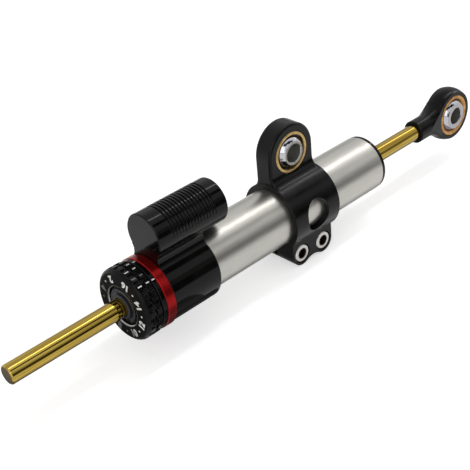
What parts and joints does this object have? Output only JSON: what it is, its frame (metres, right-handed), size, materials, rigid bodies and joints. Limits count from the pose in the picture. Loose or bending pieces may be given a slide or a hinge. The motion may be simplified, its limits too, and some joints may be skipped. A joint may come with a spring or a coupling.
{
  "type": "steering damper",
  "caption": "Linear motorcycle steering damper: through rod in a tube, click adjuster, piggyback reservoir, clamp bracket and rod end with spherical bearings.",
  "frame": {"origin": "centre of the clamp bracket's bearing ball, on its bolt axis", "axes": "+X along the rod from the adjuster towards the rod end, +Y along the clamp bearing's bolt axis away from the screw heads, +Z from the tube towards the lug and the reservoir"},
  "size_m": [0.2734, 0.0312, 0.0622],
  "materials": {
    "rod_gold": "hard nitride gold coating, fine polished",
    "band_bronze": "bronze filled glide strip",
    "black_anodised": "satin black anodised aluminium",
    "red_anodised": "bright red anodised aluminium",
    "tube_silver": "fine ground and clear anodised",
    "gland_grey": "machined aluminium",
    "chrome": "polished bearing steel",
    "race_brass": "turned bearing bronze",
    "race_copper": "copper toned bearing bronze",
    "rubber": "nitrile",
    "seal_green": "polyurethane seal",
    "bush_bronze": "sintered bronze with dry film",
    "spring_steel": "phosphated spring steel",
    "screw_silver": "bright zinc plated steel",
    "spool_brass": "turned brass",
    "piston_alu": "turned aluminium",
    "white_print": "white printing ink of the click numbers and index marks"
  },
  "bodies": {
    "barrel": {"tube": "tube_silver", "end_cap": "black_anodised", "end_bush": "bush_bronze", "end_seal": "seal_green", "end_wiper": "rubber", "end_o_ring": "rubber", "valve_housing": "black_anodised", "front_gland": "gland_grey", "front_bush": "bush_bronze", "front_seal": "seal_green", "front_wiper": "rubber", "front_o_ring": "rubber", "red_ring": "red_anodised", "index_ring": "black_anodised", "detent_ball": "chrome", "detent_spring": "spring_steel", "knob_washer": "chrome", "knob_circlip": "spring_steel", "spool_pin": "screw_silver", "reservoir_plug": "gland_grey", "plug_o_ring": "rubber", "plug_circlip": "spring_steel", "fill_screw": "screw_silver", "clamp_bracket": "black_anodised", "clamp_race": "race_brass", "clamp_screws": "screw_silver"},
    "knob": {"adjuster_knob": "black_anodised"},
    "spool": {"metering_spool": "spool_brass"},
    "band": {"piston_band": "band_bronze"},
    "rod": {"damper_rod": "rod_gold", "piston": "piston_alu", "piston_clips": "spring_steel", "rod_end": "black_anodised", "rod_end_race": "race_copper"},
    "rod_end_ball": {"rod_end_ball": "chrome"},
    "clamp_ball": {"clamp_ball": "chrome"},
    "floater": {"floating_piston": "piston_alu", "floater_o_ring": "rubber"}
  },
  "joints": [
    {"name": "adjuster_turn", "type": "hinge", "parent": "barrel", "child": "knob", "pos_m": [-0.0909, -0.003, -0.0262], "axis": [1, 0, 0], "range_deg": [-315, 22.5]},
    {"name": "spool_slide", "type": "slide", "parent": "barrel", "child": "spool", "axis": [1, 0, 0], "range_m": [-0.00285, 0.00025]},
    {"name": "rod_slide", "type": "slide", "parent": "barrel", "child": "band", "axis": [1, 0, 0], "range_m": [-0.036, 0.032]},
    {"name": "rod_spin", "type": "hinge", "parent": "band", "child": "rod", "pos_m": [-0.0009, -0.003, -0.0262], "axis": [1, 0, 0], "continuous": true},
    {"name": "rod_end_swivel", "type": "hinge", "parent": "rod", "child": "rod_end_ball", "pos_m": [0.112, -0.003, -0.0262], "axis": [0, 1, 0], "continuous": true},
    {"name": "clamp_swivel", "type": "hinge", "parent": "barrel", "child": "clamp_ball", "pos_m": [0, 0, 0], "axis": [0, 1, 0], "continuous": true},
    {"name": "floating_piston_slide", "type": "slide", "parent": "barrel", "child": "floater", "axis": [1, 0, 0], "range_m": [-0.0035, 0.008]}
  ],
  "couplings": [
    {"joint": "spool_slide", "follows": "adjuster_turn", "m_per_rad": 0.0005093}
  ]
}
